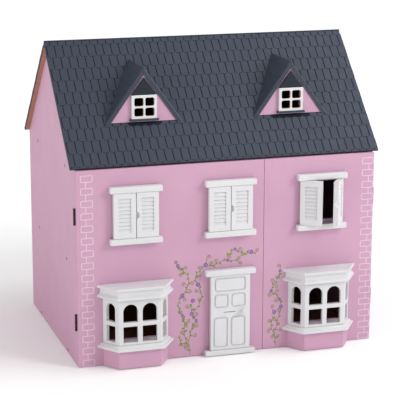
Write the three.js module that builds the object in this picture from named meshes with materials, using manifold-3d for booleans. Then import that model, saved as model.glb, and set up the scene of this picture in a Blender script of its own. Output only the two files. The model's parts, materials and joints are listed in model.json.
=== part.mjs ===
// Wooden dollhouse: a gabled box whose front is two leaves that swing open, with a lifting front roof
// panel that carries two dormers, two bay windows, three pairs of louvred shutters and a front door.
// Millimetres, +Z up. The front faces -Y. The origin is on the base board's underside, below the ridge.
import * as THREE from "three";
import { mergeVertices } from "three/addons/utils/BufferGeometryUtils.js";
import Module from "manifold-3d";

const wasm = await Module();
wasm.setup();

// ---- Driving dimensions ----
const WIDTH = 600; // over the outer faces of the side walls
const BOARD = 9; // side walls, floors and front leaves
const THIN_BOARD = 6; // roof panels, back wall and partitions
const BASE_THICKNESS = 12;
const GAP = 0.3; // between pieces that touch
const PAST = 1; // how far a cut reaches past the face it starts from
const FRONT_Y = -218; // outer face of the front leaves
const REAR_Y = 212; // outer face of the back wall
const SEAM = 0.6; // between the closed leaves and what they close on
const FIRST_FLOOR_Z = 187; // undersides of the two upper floors
const ATTIC_FLOOR_Z = 371;
const PARTITION_SETBACK = 3; // of each partition, from the front edges of the floors

const RIDGE_Z = 597;
const PITCH = THREE.MathUtils.degToRad(44.2);
const FRONT_SLOPE = 299.5; // ridge to eave, along the outer face
const REAR_SLOPE = 302;
const ROOF_OVERHANG = 10; // past each side wall
const RIDGE_JOINT = 0.9; // from the ridge plane to each panel's mitred end

const LEAF_BOTTOM = 1;
const LEAF_TOP = 383.6;
const LEAF_SPLIT_X = 71; // also the line of the right-hand partitions

const HINGE_HEIGHT = 33;
const HINGE_CENTRES_Z = [88, 295];
const HINGE_KNUCKLES = 5;
const HINGE_PIVOT_OUT = 2.4; // from the side face to the hinge's axis
const HINGE_RADIUS = 2;
const HINGE_PIN_RADIUS = 0.75;
const HINGE_BORE_RADIUS = 1.15;
const HINGE_PLATE = 0.8;
const HINGE_PLATE_WIDTH = 8; // from the side face inwards

const RIDGE_HINGE_LENGTH = 619.4;
const RIDGE_HINGE_KNUCKLES = 17;
const RIDGE_HINGE_RADIUS = 1.2;
const RIDGE_HINGE_AXIS_Z = 597.3;
const RIDGE_HINGE_PLATE = 0.6;
const RIDGE_HINGE_DEPTH = 8.4; // from the axis down into the ridge joint

const DOORWAY = { centre: -40, width: 76, height: 150 }; // in each partition, along Y

const SIDE_AXIS_X = 187.5; // centre lines of the bays and the outer windows
const DORMER_AXIS_X = 149;

const SHUTTER = { width: 43.4, height: 87.6, thickness: 10, standoff: 2.5, inset: 5 };
const SHUTTER_PAIR_WIDTH = 88;
const SHUTTER_RAIL = { width: 102, depth: 15, height: 11.5 }; // lintel and sill
const SHUTTER_BOTTOM_RAIL_Z = 239;
const LOUVRE = {
  width: 24,
  height: 66,
  slats: 9, // they lap over one another
  slatDepth: 8.6,
  slatThickness: 2,
  tilt: THREE.MathUtils.degToRad(69),
  forward: 1.7, // of the shutter's mid-plane
  letIn: 1, // at each end
};
const SCOOP = { radius: 8, out: 2, forward: 1 }; // finger hollow at each right-hand shutter's free edge
const WINDOW_HOLE = { width: 76, bottom: 256, top: 334 };
const PIVOT_PIN = { radius: 1.5, hole: 1.9, length: 3, root: 2, depth: 3.5 }; // depth is its hole's
const OPEN_SHUTTERS = { left: 30, right: 55 }; // how far the right window's shutters stand open

const DOOR = { width: 80, thickness: 10, bottom: 12, top: 162.1, inset: 5, standoff: 2.5 };
const DOOR_HOLE = { width: 70, bottom: 14, top: 158 };
const DOOR_LINTEL = { width: 101, depth: 16, bottom: 162.5, top: 174 };
const DOOR_STEP = { width: 101, depth: 15, bottom: 1.5, top: 11.5 };
const DOOR_GROOVE = { width: 2.4, depth: 1.6, radius: 6 };
const DOOR_PANELS = [ // left, right, bottom and top of each grooved panel
  [-33, 31, 129.5, 158],
  [-33.5, -4, 97, 125.5],
  [1, 31, 97, 125.5],
  [-35, -5, 17, 79],
  [0.5, 31, 17, 79],
];
const LETTER_SLOT = { left: -14, right: 10.5, bottom: 87.2, top: 88.8 };
const KNOB = { x: 24.5, z: 89, radius: 5, neckRadius: 1.6, neckLength: 2 };

const BAY = { wallHalf: 65, frontHalf: 41.5, depth: 35, wall: 7 };
const BAY_LEVELS = { plinth: 1.3, sill: 37, frame: 47.8, cornice: 135, top: 162 };
const BAY_PROUD = 9; // how far sills and lips stand out past the bay's walls
const BAY_FRIEZE_PROUD = 4;
const BAY_NOSE = { cornice: 8.5, lip: 6.5, sill: 6.5 }; // heights of the projecting mouldings
const BAY_HOLE = { width: 104, bottom: 48, top: 134 };
const PANE = { frontWidth: 28.8, sideWidth: 22, frontOffset: 18.9 };
const PANE_ROWS = { lowBottom: 52.7, lowTop: 84.4, highBottom: 92.6, highTop: 128.3 };

const DORMER = { frontY: -145, halfBase: 65, apexZ: 546.5, slab: 9, lip: 2.5 };
const DORMER_WINDOW = {
  width: 50,
  bottom: 462.6,
  top: 508.4,
  thickness: 6,
  border: 5.1, // around the four panes
  bar: 3.4, // between the panes
  corner: 3.6, // each pane's corner radius
};
const DORMER_HOLE_MARGIN = 1; // the hole behind the window, larger than its panes on each side
const DORMER_SILL = { width: 57, height: 3.6, depth: 8 };
const DORMER_PEDIMENT = { halfBase: 25, height: 33, thickness: 5 };
const ROOF_LIGHT = { width: 50, frontY: -134, rearY: -97 }; // cut-out inside each dormer

const ROUND_STEPS = 12; // sides of a small cylinder
const CORNER_STEPS = 5; // facets of a quarter turn

// ---- Finishes ----
const paint = (color) => new THREE.MeshStandardMaterial({ color, roughness: 0.55, metalness: 0 });
const PINK = paint(0xd6acc5);
const WHITE = paint(0xe8e8e9);
const SLATE = paint(0x4e5664);
const BROWN = paint(0x9b6655);
const BRONZE = new THREE.MeshStandardMaterial({ color: 0x46322b, roughness: 0.4, metalness: 0.8 });

// ---- Working values ----
const HALF_WIDTH = WIDTH / 2;
const INNER_HALF = HALF_WIDTH - BOARD - GAP;
const LEAF_BACK_Y = FRONT_Y + BOARD;
const BODY_FRONT_Y = LEAF_BACK_Y + SEAM;
const BODY_REAR_Y = REAR_Y - THIN_BOARD - GAP;
const SLOPE = Math.tan(PITCH);
const ROOF_DROP = THIN_BOARD / Math.cos(PITCH); // thickness of a roof panel, measured upright
const roofTopAt = (y) => RIDGE_Z - SLOPE * Math.abs(y);
const roofUnderAt = (y) => roofTopAt(y) - ROOF_DROP;

// ---- Geometry helpers ----
const X_AXIS = new THREE.Vector3(1, 0, 0);
const Y_AXIS = new THREE.Vector3(0, 1, 0);
const Z_AXIS = new THREE.Vector3(0, 0, 1);
const FRONT_VIEW = new THREE.Matrix4().makeBasis(X_AXIS, Z_AXIS, Y_AXIS.clone().negate());
const SIDE_VIEW = new THREE.Matrix4().makeBasis(Y_AXIS, Z_AXIS, X_AXIS);

const outline = (points) => new THREE.Shape(points.map(([a, b]) => new THREE.Vector2(a, b)));
const rectangle = (left, right, bottom, top) =>
  outline([[left, bottom], [right, bottom], [right, top], [left, top]]);

function extruded(shape, depth) {
  const options = { depth, bevelEnabled: false, curveSegments: CORNER_STEPS };
  return new THREE.ExtrudeGeometry(shape, options);
}

// An outline in X and Z, from frontY back to rearY.
function frontPrism(shape, frontY, rearY) {
  return extruded(shape, rearY - frontY).applyMatrix4(FRONT_VIEW).translate(0, rearY, 0);
}

// An outline in Y and Z, from x = left to x = right.
function sidePrism(shape, left, right) {
  return extruded(shape, right - left).applyMatrix4(SIDE_VIEW).translate(left, 0, 0);
}

// An outline in X and Y, from z = bottom up to z = top.
function planPrism(shape, bottom, top) {
  return extruded(shape, top - bottom).translate(0, 0, bottom);
}

function block(left, right, front, rear, bottom, top) {
  return planPrism(rectangle(left, right, front, rear), bottom, top);
}

function uprightCylinder(radius, bottom, top, x = 0, y = 0) {
  const cylinder = new THREE.CylinderGeometry(radius, radius, top - bottom, ROUND_STEPS);
  return cylinder.rotateX(Math.PI / 2).translate(x, y, (top + bottom) / 2);
}

function solid(geometry) {
  const bare = geometry.clone();
  bare.deleteAttribute("normal");
  bare.deleteAttribute("uv");
  const merged = mergeVertices(bare, 1e-4);
  const vertProperties = new Float32Array(merged.attributes.position.array);
  const triVerts = new Uint32Array(merged.index.array);
  return new wasm.Manifold(new wasm.Mesh({ numProp: 3, vertProperties, triVerts }));
}

function fromSolid(body) {
  const mesh = body.getMesh();
  const geometry = new THREE.BufferGeometry();
  geometry.setAttribute("position", new THREE.BufferAttribute(mesh.vertProperties, 3));
  geometry.setIndex(new THREE.BufferAttribute(mesh.triVerts, 1));
  const faceted = geometry.toNonIndexed();
  faceted.computeVertexNormals();
  return faceted;
}

// Joins the added geometries to the first and then cuts the removed ones away.
function carved(first, { add = [], remove = [] }) {
  let body = solid(first);
  for (const piece of add) body = body.add(solid(piece));
  for (const piece of remove) body = body.subtract(solid(piece));
  return fromSolid(body);
}

function piece(group, name, geometry, material) {
  const mesh = new THREE.Mesh(geometry, material);
  mesh.name = name;
  group.add(mesh);
  return mesh;
}

const house = new THREE.Group();

// ---- Case: base, walls, floors and partitions ----
function hingePocket(side, centreZ, front, rear) {
  const outer = side * (HALF_WIDTH + PAST);
  const inner = side * (HALF_WIDTH - HINGE_PLATE_WIDTH - GAP);
  const half = HINGE_HEIGHT / 2 + GAP;
  const edges = [Math.min(outer, inner), Math.max(outer, inner)];
  return block(...edges, front, rear, centreZ - half, centreZ + half);
}

function sideWall(side) {
  const clear = roofUnderAt(0) - GAP;
  const outer = side * HALF_WIDTH;
  const inner = side * (HALF_WIDTH - BOARD);
  const shape = outline([
    [BODY_FRONT_Y, 0],
    [REAR_Y, 0],
    [REAR_Y, clear - SLOPE * REAR_Y],
    [0, clear],
    [BODY_FRONT_Y, clear + SLOPE * BODY_FRONT_Y],
  ]);
  const pocketRear = BODY_FRONT_Y + HINGE_PLATE + GAP;
  return carved(sidePrism(shape, Math.min(outer, inner), Math.max(outer, inner)), {
    remove: HINGE_CENTRES_Z.map((z) => hingePocket(side, z, BODY_FRONT_Y - PAST, pocketRear)),
  });
}

function partition(bottom, top) {
  const front = BODY_FRONT_Y + PARTITION_SETBACK;
  const rear = BODY_REAR_Y;
  const nearJamb = DOORWAY.centre - DOORWAY.width / 2;
  const farJamb = DOORWAY.centre + DOORWAY.width / 2;
  const shape = outline([
    [front, bottom],
    [nearJamb, bottom],
    [nearJamb, bottom + DOORWAY.height],
    [farJamb, bottom + DOORWAY.height],
    [farJamb, bottom],
    [rear, bottom],
    [rear, top],
    [front, top],
  ]);
  return sidePrism(shape, -THIN_BOARD / 2, THIN_BOARD / 2);
}

function addCase() {
  const floorBlock = (bottom, top) =>
    block(-INNER_HALF, INNER_HALF, BODY_FRONT_Y, BODY_REAR_Y, bottom, top);
  piece(house, "base_board", floorBlock(0, BASE_THICKNESS), BROWN);
  piece(house, "first_floor", floorBlock(FIRST_FLOOR_Z, FIRST_FLOOR_Z + BOARD), BROWN);
  piece(house, "attic_floor", floorBlock(ATTIC_FLOOR_Z, ATTIC_FLOOR_Z + BOARD), BROWN);
  piece(house, "left_side_wall", sideWall(-1), PINK);
  piece(house, "right_side_wall", sideWall(1), PINK);
  const backTop = roofUnderAt(REAR_Y) - GAP;
  const back = block(-INNER_HALF, INNER_HALF, REAR_Y - THIN_BOARD, REAR_Y, 0, backTop);
  piece(house, "back_wall", back, PINK);
  const storeys = {
    ground: [BASE_THICKNESS + GAP, FIRST_FLOOR_Z - GAP],
    upper: [FIRST_FLOOR_Z + BOARD + GAP, ATTIC_FLOOR_Z - GAP],
  };
  for (const [storey, [bottom, top]] of Object.entries(storeys)) {
    for (const [side, x] of [["left", -LEAF_SPLIT_X], ["right", LEAF_SPLIT_X]]) {
      const name = `${storey}_${side}_partition`;
      piece(house, name, partition(bottom, top), BROWN).position.x = x;
    }
  }
}

// ---- Roof panels, mitred at the ridge ----
function roofPanel(facing, slopeLength) {
  const eaveY = slopeLength * Math.cos(PITCH);
  const eaveZ = RIDGE_Z - slopeLength * Math.sin(PITCH);
  const shape = outline([
    [facing * RIDGE_JOINT, roofTopAt(RIDGE_JOINT)],
    [facing * eaveY, eaveZ],
    [facing * (eaveY - THIN_BOARD * Math.sin(PITCH)), eaveZ - THIN_BOARD * Math.cos(PITCH)],
    [facing * RIDGE_JOINT, roofUnderAt(RIDGE_JOINT)],
  ]);
  const half = HALF_WIDTH + ROOF_OVERHANG;
  return sidePrism(shape, -half, half);
}

function addRoof() {
  piece(house, "rear_roof_panel", roofPanel(1, REAR_SLOPE), SLATE);
  const half = ROOF_LIGHT.width / 2;
  const lights = [-DORMER_AXIS_X, DORMER_AXIS_X].map((x) =>
    block(x - half, x + half, ROOF_LIGHT.frontY, ROOF_LIGHT.rearY, ATTIC_FLOOR_Z, RIDGE_Z),
  );
  const front = carved(roofPanel(-1, FRONT_SLOPE), { remove: lights });
  piece(house, "front_roof_panel", front, SLATE);
}

// One leaf of the long ridge hinge: a plate let into the ridge joint and every second knuckle on top.
function ridgeHingeLeaf(side, firstKnuckle) {
  const half = RIDGE_HINGE_LENGTH / 2;
  const pitch = RIDGE_HINGE_LENGTH / RIDGE_HINGE_KNUCKLES;
  const near = side * (GAP / 2);
  const far = side * (GAP / 2 + RIDGE_HINGE_PLATE);
  const plateTop = RIDGE_HINGE_AXIS_Z - RIDGE_HINGE_RADIUS - GAP;
  const bottom = RIDGE_HINGE_AXIS_Z - RIDGE_HINGE_DEPTH;
  const edges = [Math.min(near, far), Math.max(near, far)];
  const plate = block(-half, half, ...edges, bottom, plateTop);
  const radius = RIDGE_HINGE_RADIUS;
  const knuckles = [];
  for (let k = firstKnuckle; k < RIDGE_HINGE_KNUCKLES; k += 2) {
    const left = -half + k * pitch + GAP / 2;
    const right = left + pitch - GAP;
    const barrel = new THREE.CylinderGeometry(radius, radius, pitch - GAP, ROUND_STEPS);
    knuckles.push(barrel.rotateZ(Math.PI / 2).translate((left + right) / 2, 0, RIDGE_HINGE_AXIS_Z));
    knuckles.push(block(left, right, ...edges, bottom, RIDGE_HINGE_AXIS_Z));
  }
  return carved(plate, { add: knuckles });
}

function addRidgeHinge() {
  piece(house, "ridge_hinge_fixed_leaf", ridgeHingeLeaf(1, 0), SLATE);
  piece(house, "ridge_hinge_moving_leaf", ridgeHingeLeaf(-1, 1), SLATE);
}

// ---- Dormers, in a group centred on the dormer's own line ----
const DORMER_SLOPE = (DORMER.apexZ - roofTopAt(DORMER.frontY)) / DORMER.halfBase;
const DORMER_SLAB_RISE = DORMER.slab * Math.hypot(1, DORMER_SLOPE); // slab thickness, upright

// Everything below the front roof panel's outer face.
function underRoof() {
  const lift = GAP / Math.cos(PITCH);
  const span = 260;
  const low = 300;
  const shape = outline([
    [-span, low],
    [0, low],
    [0, RIDGE_Z + lift],
    [-span, roofTopAt(span) + lift],
  ]);
  return sidePrism(shape, -span / 2, span / 2);
}

function dormerGable() {
  const under = DORMER.apexZ - GAP * Math.hypot(1, DORMER_SLOPE);
  const base = roofTopAt(DORMER.frontY) - THIN_BOARD;
  const half = (under - base) / DORMER_SLOPE;
  const shape = outline([[-half, base], [half, base], [0, under]]);
  const { width, bottom, top, border } = DORMER_WINDOW;
  const reach = width / 2 - border + DORMER_HOLE_MARGIN;
  const foot = bottom + border - DORMER_HOLE_MARGIN;
  const hole = rectangle(-reach, reach, foot, top - border + DORMER_HOLE_MARGIN);
  const board = frontPrism(shape, DORMER.frontY, DORMER.frontY + THIN_BOARD);
  const opening = frontPrism(hole, DORMER.frontY - PAST, DORMER.frontY + THIN_BOARD + PAST);
  return carved(board, { remove: [underRoof(), opening] });
}

function dormerSlab(side) {
  const foot = DORMER.halfBase + 25; // below the valley, where the slab is cut off
  const centre = side * (GAP / 2);
  const innerTop = DORMER.apexZ - DORMER_SLOPE * (GAP / 2);
  const shape = outline([
    [centre, innerTop],
    [centre, innerTop + DORMER_SLAB_RISE],
    [side * foot, DORMER.apexZ + DORMER_SLAB_RISE - DORMER_SLOPE * foot],
    [side * foot, DORMER.apexZ - DORMER_SLOPE * foot],
  ]);
  return carved(frontPrism(shape, DORMER.frontY - DORMER.lip, -GAP), { remove: [underRoof()] });
}

function roundedRectangle(left, right, bottom, top, radius) {
  const shape = new THREE.Shape();
  shape.absarc(left + radius, bottom + radius, radius, Math.PI, Math.PI * 1.5);
  shape.absarc(right - radius, bottom + radius, radius, Math.PI * 1.5, Math.PI * 2);
  shape.absarc(right - radius, top - radius, radius, 0, Math.PI * 0.5);
  shape.absarc(left + radius, top - radius, radius, Math.PI * 0.5, Math.PI);
  return shape;
}

function dormerWindow() {
  const { width, bottom, top, thickness, border, bar, corner } = DORMER_WINDOW;
  const rear = DORMER.frontY - GAP;
  const paneWidth = (width - 2 * border - bar) / 2;
  const paneHeight = (top - bottom - 2 * border - bar) / 2;
  const remove = [];
  for (const left of [-width / 2 + border, bar / 2]) {
    for (const low of [bottom + border, bottom + border + paneHeight + bar]) {
      const pane = roundedRectangle(left, left + paneWidth, low, low + paneHeight, corner);
      remove.push(frontPrism(pane, rear - thickness - PAST, rear + PAST));
    }
  }
  return carved(block(-width / 2, width / 2, rear - thickness, rear, bottom, top), { remove });
}

function addDormer(name, x) {
  const group = new THREE.Group();
  group.position.x = x;
  house.add(group);
  const rear = DORMER.frontY - GAP;
  piece(group, `${name}_gable`, dormerGable(), PINK);
  piece(group, `${name}_left_slope`, dormerSlab(-1), SLATE);
  piece(group, `${name}_right_slope`, dormerSlab(1), SLATE);
  piece(group, `${name}_window`, dormerWindow(), WHITE);
  const sillTop = DORMER_WINDOW.bottom - GAP;
  const sillHalf = DORMER_SILL.width / 2;
  const sillBottom = sillTop - DORMER_SILL.height;
  const sill = block(-sillHalf, sillHalf, rear - DORMER_SILL.depth, rear, sillBottom, sillTop);
  piece(group, `${name}_sill`, sill, SLATE);
  const base = DORMER_WINDOW.top + GAP;
  const { halfBase, height, thickness } = DORMER_PEDIMENT;
  const triangle = outline([[-halfBase, base], [halfBase, base], [0, base + height]]);
  piece(group, `${name}_pediment`, frontPrism(triangle, rear - thickness, rear), SLATE);
}

// ---- Front leaves, with holes behind the windows, the bays and the door ----
function openingAt(x, { width, bottom, top }) {
  return block(x - width / 2, x + width / 2, FRONT_Y - PAST, LEAF_BACK_Y + PAST, bottom, top);
}

function frontLeaf(side) {
  const outer = side * HALF_WIDTH;
  const inner = LEAF_SPLIT_X + side * (SEAM / 2);
  const shape = rectangle(Math.min(outer, inner), Math.max(outer, inner), LEAF_BOTTOM, LEAF_TOP);
  const axis = side * SIDE_AXIS_X;
  const pocketFront = LEAF_BACK_Y - HINGE_PLATE - GAP;
  const remove = HINGE_CENTRES_Z.map((z) => hingePocket(side, z, pocketFront, LEAF_BACK_Y + PAST));
  remove.push(openingAt(axis, WINDOW_HOLE), openingAt(axis, BAY_HOLE));
  if (side < 0) remove.push(openingAt(0, WINDOW_HOLE), openingAt(0, DOOR_HOLE));
  return carved(frontPrism(shape, FRONT_Y, LEAF_BACK_Y), { remove });
}

// ---- Butt hinges between the leaves and the side walls, in a group on each hinge's axis ----
const HINGE_AXIS_Y = (LEAF_BACK_Y + BODY_FRONT_Y) / 2;

function hingeLeaf(side, fixed) {
  const step = HINGE_HEIGHT / HINGE_KNUCKLES;
  const bottom = -HINGE_HEIGHT / 2;
  const inwards = -side;
  const depthSign = fixed ? 1 : -1;
  const near = depthSign * (SEAM / 2 + GAP / 3);
  const far = near + depthSign * HINGE_PLATE;
  const reach = inwards * (HINGE_PIVOT_OUT + HINGE_PLATE_WIDTH);
  const root = inwards * (HINGE_PIVOT_OUT - GAP / 2);
  const yEdges = [Math.min(near, far), Math.max(near, far)];
  const plate = block(Math.min(reach, root), Math.max(reach, root), ...yEdges, bottom, -bottom);
  const add = [];
  const tongueRoot = inwards * HINGE_BORE_RADIUS;
  for (let k = fixed ? 0 : 1; k < HINGE_KNUCKLES; k += 2) {
    const low = bottom + k * step + GAP / 2;
    const high = low + step - GAP;
    add.push(uprightCylinder(HINGE_RADIUS, low, high));
    const xEdges = [Math.min(reach, tongueRoot), Math.max(reach, tongueRoot)];
    add.push(block(...xEdges, ...yEdges, low, high));
  }
  if (fixed) {
    add.push(uprightCylinder(HINGE_PIN_RADIUS, bottom + PAST, -bottom - PAST));
    return carved(plate, { add });
  }
  const bore = uprightCylinder(HINGE_BORE_RADIUS, bottom - PAST, PAST - bottom);
  return carved(plate, { add, remove: [bore] });
}

function addHinge(name, side, z) {
  const group = new THREE.Group();
  group.position.set(side * (HALF_WIDTH + HINGE_PIVOT_OUT), HINGE_AXIS_Y, z);
  house.add(group);
  piece(group, `${name}_fixed_leaf`, hingeLeaf(side, true), BRONZE);
  piece(group, `${name}_moving_leaf`, hingeLeaf(side, false), BRONZE);
}

// ---- Shuttered windows, in a group on the wall face at the window's centre line ----
const SHUTTER_BOTTOM = SHUTTER_BOTTOM_RAIL_Z + SHUTTER_RAIL.height + (GAP + 0.1);
const SHUTTER_TOP = SHUTTER_BOTTOM + SHUTTER.height;
const SHUTTER_PIVOT_X = SHUTTER_PAIR_WIDTH / 2 - SHUTTER.inset;
const SHUTTER_PIVOT_Y = -(SHUTTER.standoff + SHUTTER.thickness / 2);

function shutterRail(bottom, openUp) {
  const { width, depth, height } = SHUTTER_RAIL;
  const top = bottom + height;
  const rail = block(-width / 2, width / 2, -depth, -GAP, bottom, top);
  const mouth = openUp ? top - PIVOT_PIN.depth : bottom - PAST;
  const end = openUp ? top + PAST : bottom + PIVOT_PIN.depth;
  const holes = [-SHUTTER_PIVOT_X, SHUTTER_PIVOT_X].map((x) =>
    uprightCylinder(PIVOT_PIN.hole, mouth, end, x, SHUTTER_PIVOT_Y),
  );
  return carved(rail, { remove: holes });
}

// A shutter that hangs to the right of its pivot, or to the left where side is 1.
function shutter(side) {
  const outer = side * SHUTTER.inset;
  const inner = -side * (SHUTTER.width - SHUTTER.inset);
  const middle = (outer + inner) / 2;
  const half = SHUTTER.thickness / 2;
  const shape = rectangle(Math.min(outer, inner), Math.max(outer, inner), SHUTTER_BOTTOM, SHUTTER_TOP);
  const centreZ = (SHUTTER_BOTTOM + SHUTTER_TOP) / 2;
  const { width, height, slats, slatDepth, slatThickness, tilt, forward, letIn } = LOUVRE;
  const low = centreZ - height / 2;
  shape.holes.push(rectangle(middle - width / 2, middle + width / 2, low, low + height));
  const add = [];
  for (let k = 0; k < slats; k += 1) {
    const slat = new THREE.BoxGeometry(width + 2 * letIn, slatDepth, slatThickness);
    add.push(slat.rotateX(tilt).translate(middle, -forward, low + ((k + 0.5) * height) / slats));
  }
  const { radius, length, root } = PIVOT_PIN;
  add.push(uprightCylinder(radius, SHUTTER_BOTTOM - length, SHUTTER_BOTTOM + root));
  add.push(uprightCylinder(radius, SHUTTER_TOP - root, SHUTTER_TOP + length));
  const remove = [];
  if (side > 0) {
    const scoop = new THREE.SphereGeometry(SCOOP.radius, ROUND_STEPS * 2, ROUND_STEPS);
    remove.push(scoop.translate(inner - SCOOP.out, -half - SCOOP.forward, centreZ));
  }
  return carved(frontPrism(shape, -half, half), { add, remove });
}

function addWindow(name, x, open) {
  const group = new THREE.Group();
  group.position.set(x, FRONT_Y, 0);
  house.add(group);
  piece(group, `${name}_lintel`, shutterRail(SHUTTER_TOP + GAP + 0.1, false), WHITE);
  piece(group, `${name}_sill`, shutterRail(SHUTTER_BOTTOM_RAIL_Z, true), WHITE);
  for (const [hand, side] of [["left", -1], ["right", 1]]) {
    const leaf = piece(group, `${name}_${hand}_shutter`, shutter(side), WHITE);
    leaf.position.set(side * SHUTTER_PIVOT_X, SHUTTER_PIVOT_Y, 0);
    leaf.rotation.z = side * THREE.MathUtils.degToRad(open[hand]);
  }
}

// ---- Front door, in a group on the wall face at the door's centre line ----
const DOOR_PIVOT_X = -DOOR.width / 2 + DOOR.inset;
const DOOR_PIVOT_Y = -(DOOR.standoff + DOOR.thickness / 2);

function doorRail({ width, depth, bottom, top }, openUp) {
  const rail = block(-width / 2, width / 2, -depth, -GAP, bottom, top);
  const mouth = openUp ? top - PIVOT_PIN.depth : bottom - PAST;
  const end = openUp ? top + PAST : bottom + PIVOT_PIN.depth;
  const hole = uprightCylinder(PIVOT_PIN.hole, mouth, end, DOOR_PIVOT_X, DOOR_PIVOT_Y);
  return carved(rail, { remove: [hole] });
}

// A groove that follows a rounded rectangle on the door's front face.
function doorGroove([left, right, bottom, top]) {
  const { width, depth, radius } = DOOR_GROOVE;
  const face = -DOOR.thickness / 2;
  const around = (inset, front, rear) => {
    const edges = [left + inset, right - inset, bottom + inset, top - inset];
    const shape = roundedRectangle(...edges, radius - inset / 2);
    return frontPrism(shape, front, rear).translate(-DOOR_PIVOT_X, 0, 0);
  };
  const middle = around(width, face - 2 * PAST, face + depth + PAST);
  return carved(around(0, face - PAST, face + depth), { remove: [middle] });
}

function frontDoor() {
  const half = DOOR.thickness / 2;
  const left = -DOOR.inset;
  const leaf = block(left, left + DOOR.width, -half, half, DOOR.bottom, DOOR.top);
  const { radius, length, root } = PIVOT_PIN;
  const add = [
    uprightCylinder(radius, DOOR.bottom - length, DOOR.bottom + root),
    uprightCylinder(radius, DOOR.top - root, DOOR.top + length),
  ];
  const slot = LETTER_SLOT;
  const slotCut = block(slot.left, slot.right, -half - PAST, half + PAST, slot.bottom, slot.top);
  const remove = [...DOOR_PANELS.map(doorGroove), slotCut.translate(-DOOR_PIVOT_X, 0, 0)];
  return carved(leaf, { add, remove });
}

// A turned knob: a short neck with a ball on it, standing out of the door.
function doorKnob() {
  const start = Math.asin(KNOB.neckRadius / KNOB.radius);
  const profile = [new THREE.Vector2(0, 0), new THREE.Vector2(KNOB.neckRadius, 0)];
  const centre = KNOB.neckLength + KNOB.radius * Math.cos(start);
  const steps = 8;
  for (let k = 0; k <= steps; k += 1) {
    const angle = start + ((Math.PI - start) * k) / steps;
    const radius = k === steps ? 0 : KNOB.radius * Math.sin(angle);
    profile.push(new THREE.Vector2(radius, centre - KNOB.radius * Math.cos(angle)));
  }
  return new THREE.LatheGeometry(profile, 16).rotateX(Math.PI);
}

function addDoor() {
  const group = new THREE.Group();
  group.position.y = FRONT_Y;
  house.add(group);
  piece(group, "door_lintel", doorRail(DOOR_LINTEL, false), WHITE);
  piece(group, "door_step", doorRail(DOOR_STEP, true), WHITE);
  const leaf = piece(group, "front_door", frontDoor(), WHITE);
  leaf.position.set(DOOR_PIVOT_X, DOOR_PIVOT_Y, 0);
  const knob = piece(group, "door_knob", doorKnob(), WHITE);
  knob.position.set(KNOB.x, -(DOOR.standoff + DOOR.thickness + GAP), KNOB.z);
}

// ---- Bay windows, in a group on the wall face at the bay's centre line ----
const BAY_SIDE_RUN = BAY.wallHalf - BAY.frontHalf;
const BAY_SIDE_LENGTH = Math.hypot(BAY_SIDE_RUN, BAY.depth);
const BAY_SIDE_TURN = Math.atan2(BAY.depth, BAY_SIDE_RUN); // of a slanted side, from the wall's line

// The bay's plan, moved outwards by an offset (inwards where it is negative).
function bayPlan(offset, wallY = -GAP) {
  const slant = BAY_SIDE_RUN / BAY.depth;
  const atWall = BAY.wallHalf + (offset * BAY_SIDE_LENGTH) / BAY.depth;
  const depth = BAY.depth + offset;
  const halfAt = (y) => atWall + y * slant;
  return [
    [-halfAt(wallY), wallY],
    [-halfAt(-depth), -depth],
    [halfAt(-depth), -depth],
    [halfAt(wallY), wallY],
  ];
}

function bayPane(width, bottom, top, arched) {
  const half = width / 2;
  if (!arched) return rectangle(-half, half, bottom, top);
  const shape = new THREE.Shape();
  shape.moveTo(-half, bottom);
  shape.lineTo(half, bottom);
  shape.absarc(0, top - half, half, 0, Math.PI / 2);
  shape.absarc(0, top - half, half, Math.PI / 2, Math.PI);
  return shape;
}

function bayPaneCutters() {
  const { lowBottom, lowTop, highBottom, highTop } = PANE_ROWS;
  const cutters = [];
  const cut = BAY.wall + 2 * PAST;
  const rows = (width) => [
    bayPane(width, lowBottom, lowTop, false),
    bayPane(width, highBottom, highTop, true),
  ];
  for (const x of [-PANE.frontOffset, PANE.frontOffset]) {
    for (const shape of rows(PANE.frontWidth)) {
      cutters.push(frontPrism(shape, -cut / 2, cut / 2).translate(x, BAY.wall / 2 - BAY.depth, 0));
    }
  }
  for (const side of [-1, 1]) {
    const middleX = side * (BAY.wallHalf + BAY.frontHalf) / 2;
    const inset = BAY.wall / 2;
    const x = middleX - side * inset * Math.sin(BAY_SIDE_TURN);
    const y = -BAY.depth / 2 + inset * Math.cos(BAY_SIDE_TURN);
    for (const shape of rows(PANE.sideWidth)) {
      const cutter = frontPrism(shape, -cut / 2, cut / 2);
      cutters.push(cutter.rotateZ(side * BAY_SIDE_TURN).translate(x, y, 0));
    }
  }
  return cutters;
}

function bayFrame() {
  const { frame, cornice } = BAY_LEVELS;
  const inside = outline(bayPlan(-BAY.wall, PAST));
  const shell = planPrism(outline(bayPlan(0)), frame, cornice - GAP);
  const room = planPrism(inside, frame - PAST, cornice + PAST);
  return carved(shell, { remove: [room, ...bayPaneCutters()] });
}

function bayCornice() {
  const { cornice, top } = BAY_LEVELS;
  const tier = (offset, low, high) => planPrism(outline(bayPlan(offset)), low, high);
  const lower = tier(BAY_PROUD, cornice, cornice + BAY_NOSE.cornice);
  const frieze = tier(BAY_FRIEZE_PROUD, cornice, top);
  const lip = tier(BAY_PROUD, top - BAY_NOSE.lip, top);
  return carved(lower, { add: [frieze, lip] });
}

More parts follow.
